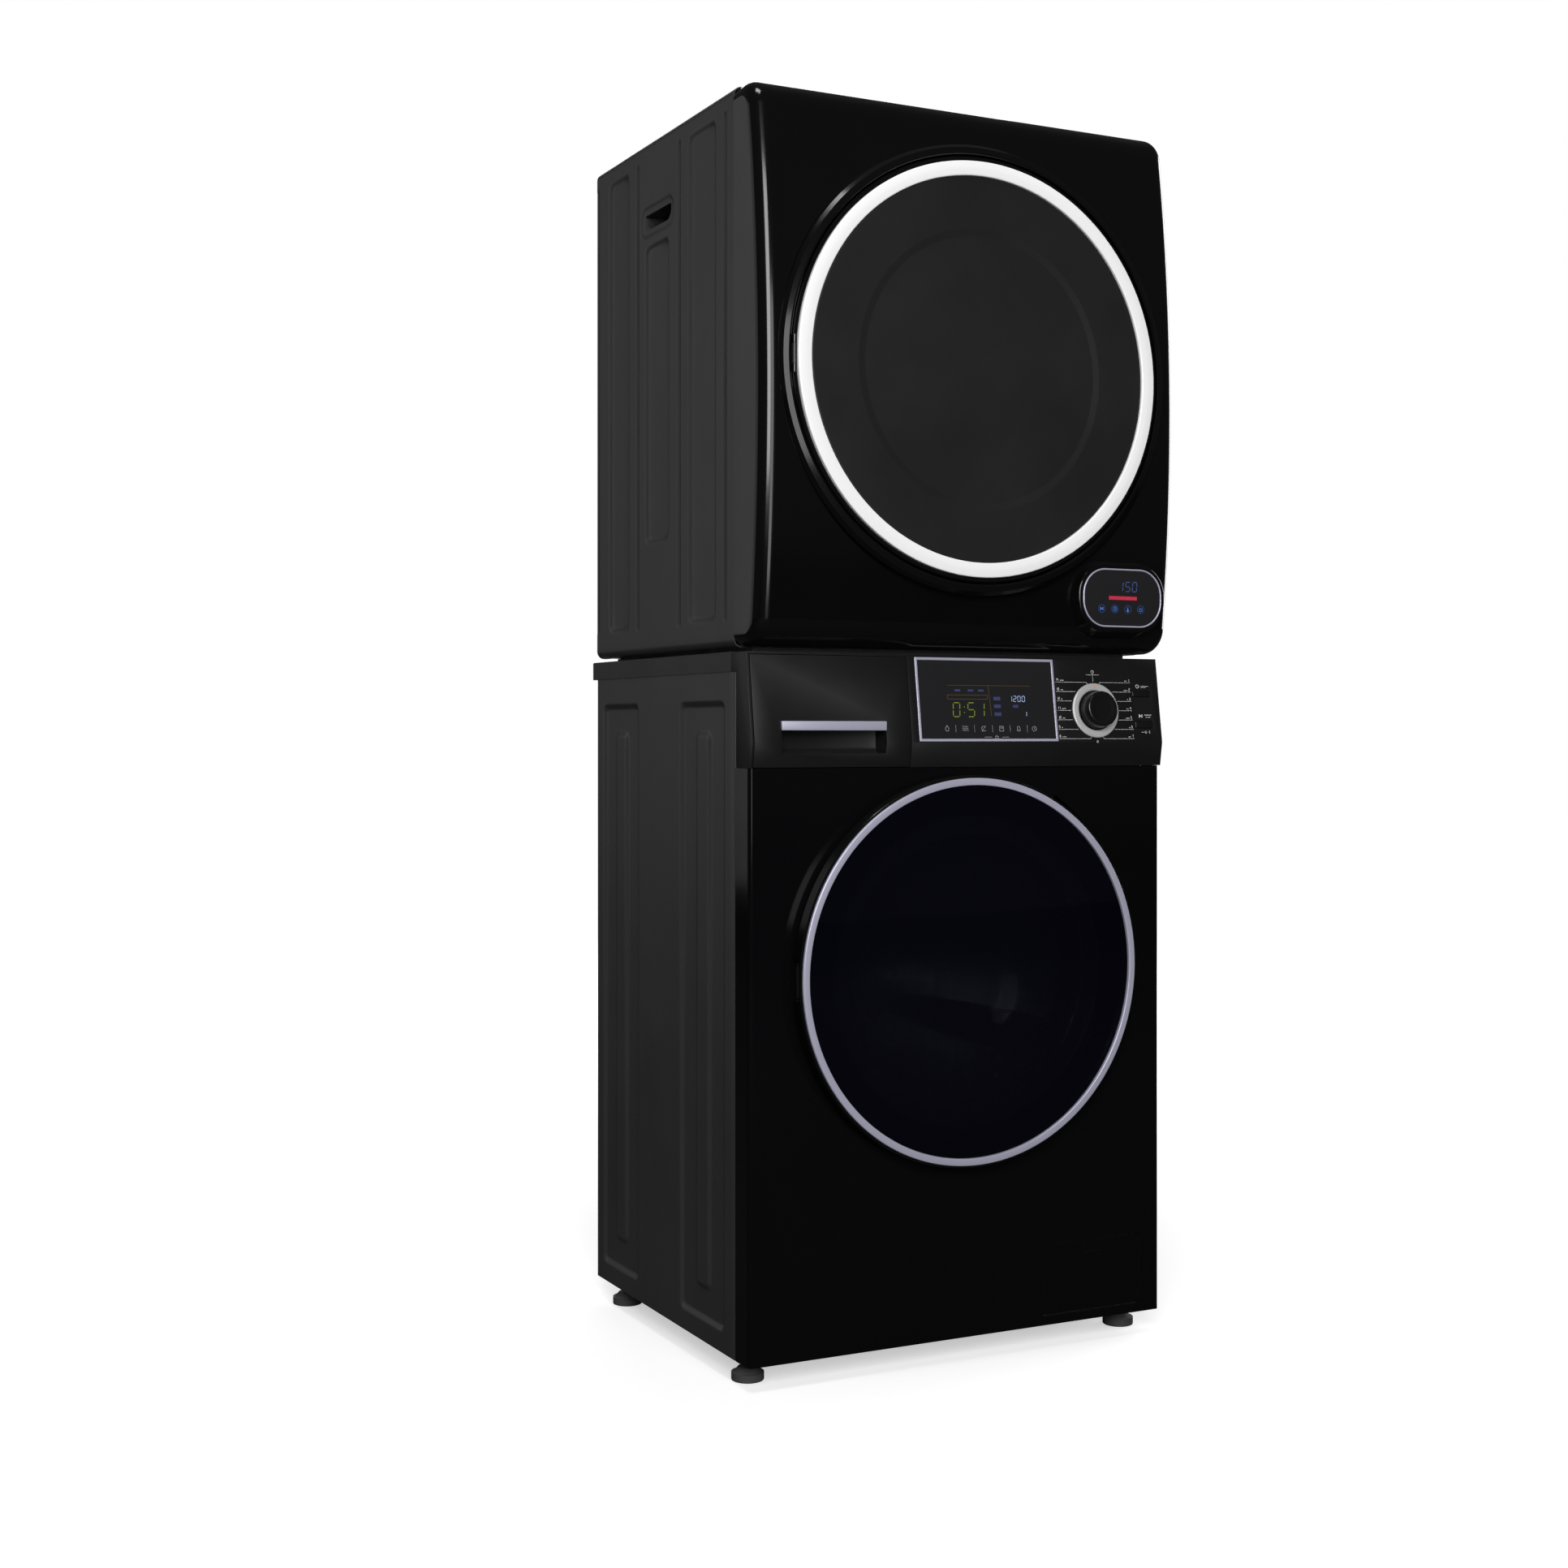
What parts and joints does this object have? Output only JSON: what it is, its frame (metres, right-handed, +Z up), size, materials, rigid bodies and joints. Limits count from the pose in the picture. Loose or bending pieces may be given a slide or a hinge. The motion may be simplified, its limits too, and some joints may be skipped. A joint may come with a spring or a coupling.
{
  "type": "washer dryer stack",
  "caption": "Stacked laundry pair: vented tumble dryer with a bowed front and round ringed door on a front-loading washer with drawer, display, dial and round glass door.",
  "frame": {"origin": "bottom centre of the overall bounding box, on the floor under the washer", "axes": "+Z up, -Y towards the front of both machines, +X to the right when facing the fronts"},
  "size_m": [0.5968, 0.555, 1.5621],
  "materials": {
    "cabinet_steel": "satin",
    "front_steel": "gloss",
    "galvanised_steel": "satin",
    "top_plate": "satin",
    "console_plastic": "satin",
    "gloss_black": "gloss",
    "silver_trim": "satin",
    "white_trim": "satin",
    "door_disc": "satin",
    "display_glass": "gloss",
    "knob_black": "satin",
    "door_glass": "gloss",
    "bowl_glass": "gloss",
    "stainless": "brushed",
    "rubber_grey": "matt",
    "belt_rubber": "matt",
    "grey_plastic": "matt",
    "dark_plastic": "matt",
    "circuit_board": "matt",
    "cast_metal": "cast",
    "concrete": "matt",
    "screw_steel": "satin"
  },
  "bodies": {
    "cabinet": {"console": "console_plastic", "console_board": "circuit_board", "control_pod": "gloss_black", "counterweight": "concrete", "dial_ring": "silver_trim", "display_frame": "silver_trim", "display_window": "display_glass", "door_gasket": "rubber_grey", "door_hinges": "galvanised_steel", "door_locks": "dark_plastic", "drain_pump": "grey_plastic", "drawer_housing": "grey_plastic", "dryer_belt": "belt_rubber", "dryer_cabinet": "cabinet_steel", "dryer_chassis": "galvanised_steel", "dryer_fascia": "gloss_black", "dryer_motor": "cast_metal", "dryer_rear_panel": "galvanised_steel", "exhaust_duct": "grey_plastic", "grip_cups": "dark_plastic", "heater": "galvanised_steel", "outer_tub": "grey_plastic", "pod_ring": "silver_trim", "pod_window": "display_glass", "rear_connections": "dark_plastic", "screws": "screw_steel", "stacking_frame": "rubber_grey", "tub_bearings": "cast_metal", "tub_suspension": "galvanised_steel", "washer_base": "galvanised_steel", "washer_belt": "belt_rubber", "washer_feet": "rubber_grey", "washer_front_panel": "front_steel", "washer_motor": "cast_metal", "washer_rear_panel": "galvanised_steel", "washer_side_left": "cabinet_steel", "washer_side_right": "cabinet_steel", "washer_top_plate": "top_plate"},
    "washer_door": {"washer_door_frame": "gloss_black", "washer_door_ring": "silver_trim", "washer_door_glass": "door_glass", "washer_door_bowl": "bowl_glass"},
    "detergent_drawer": {"detergent_drawer": "console_plastic", "drawer_handle_trim": "silver_trim"},
    "program_knob": {"program_knob": "knob_black"},
    "power_button": {"power_button": "knob_black"},
    "start_button": {"start_button": "knob_black"},
    "washer_drum": {"washer_drum": "stainless", "drum_paddles": "grey_plastic", "drum_spider": "cast_metal", "drum_pulley": "cast_metal"},
    "washer_motor_shaft": {"washer_motor_pulley": "cast_metal"},
    "filter_hatch": {"filter_hatch": "front_steel"},
    "pump_filter_cap": {"pump_filter_cap": "dark_plastic"},
    "dryer_door": {"dryer_door_liner": "gloss_black", "dryer_door_ring": "white_trim", "dryer_door_disc": "door_disc"},
    "dryer_drum": {"dryer_drum": "stainless"},
    "blower_wheel": {"blower_wheel": "grey_plastic"},
    "lint_filter": {"lint_filter": "grey_plastic"}
  },
  "joints": [
    {"name": "washer_door_hinge", "type": "hinge", "parent": "cabinet", "child": "washer_door", "pos_m": [-0.23, -0.246, 0.489], "axis": [0, 0, -1], "range_deg": [0, 105]},
    {"name": "dryer_door_hinge", "type": "hinge", "parent": "cabinet", "child": "dryer_door", "pos_m": [-0.259, -0.2727, 1.23], "axis": [0, 0, -1], "range_deg": [0, 100]},
    {"name": "drawer_slide", "type": "slide", "parent": "cabinet", "child": "detergent_drawer", "axis": [0, -1, 0], "range_m": [0, 0.19]},
    {"name": "knob_turn", "type": "hinge", "parent": "cabinet", "child": "program_knob", "pos_m": [0.196, -0.23136, 0.813], "axis": [0, -0.9907, 0.1363], "continuous": true},
    {"name": "power_press", "type": "slide", "parent": "cabinet", "child": "power_button", "axis": [0, 0.9907, -0.1363], "range_m": [0, 0.0012], "stiffness_N_per_m": 600, "springref_m": -0.002},
    {"name": "start_press", "type": "slide", "parent": "cabinet", "child": "start_button", "axis": [0, 0.9907, -0.1363], "range_m": [0, 0.0012], "stiffness_N_per_m": 600, "springref_m": -0.002},
    {"name": "washer_drum_spin", "type": "hinge", "parent": "cabinet", "child": "washer_drum", "pos_m": [0, 0.1705, 0.489], "axis": [0, -1, 0], "continuous": true},
    {"name": "washer_motor_spin", "type": "hinge", "parent": "cabinet", "child": "washer_motor_shaft", "pos_m": [-0.09, 0.2165, 0.168], "axis": [0, -1, 0], "continuous": true},
    {"name": "filter_hatch_hinge", "type": "hinge", "parent": "cabinet", "child": "filter_hatch", "pos_m": [0.192, -0.2245, 0.048], "axis": [1, 0, 0], "range_deg": [0, 95]},
    {"name": "pump_cap_turn", "type": "hinge", "parent": "cabinet", "child": "pump_filter_cap", "pos_m": [0.192, -0.1895, 0.088], "axis": [0, -1, 0], "range_deg": [0, 180]},
    {"name": "dryer_drum_spin", "type": "hinge", "parent": "cabinet", "child": "dryer_drum", "pos_m": [0, 0.2105, 1.23], "axis": [0, -1, 0], "continuous": true},
    {"name": "blower_spin", "type": "hinge", "parent": "cabinet", "child": "blower_wheel", "pos_m": [0.195, 0.0145, 0.968], "axis": [0, -1, 0], "continuous": true},
    {"name": "lint_filter_slide", "type": "slide", "parent": "cabinet", "child": "lint_filter", "axis": [0, 0, 1], "range_m": [0, 0.08]}
  ],
  "couplings": [
    {"joint": "washer_motor_spin", "follows": "washer_drum_spin", "ratio": 12.727},
    {"joint": "blower_spin", "follows": "dryer_drum_spin", "ratio": 29.778}
  ]
}
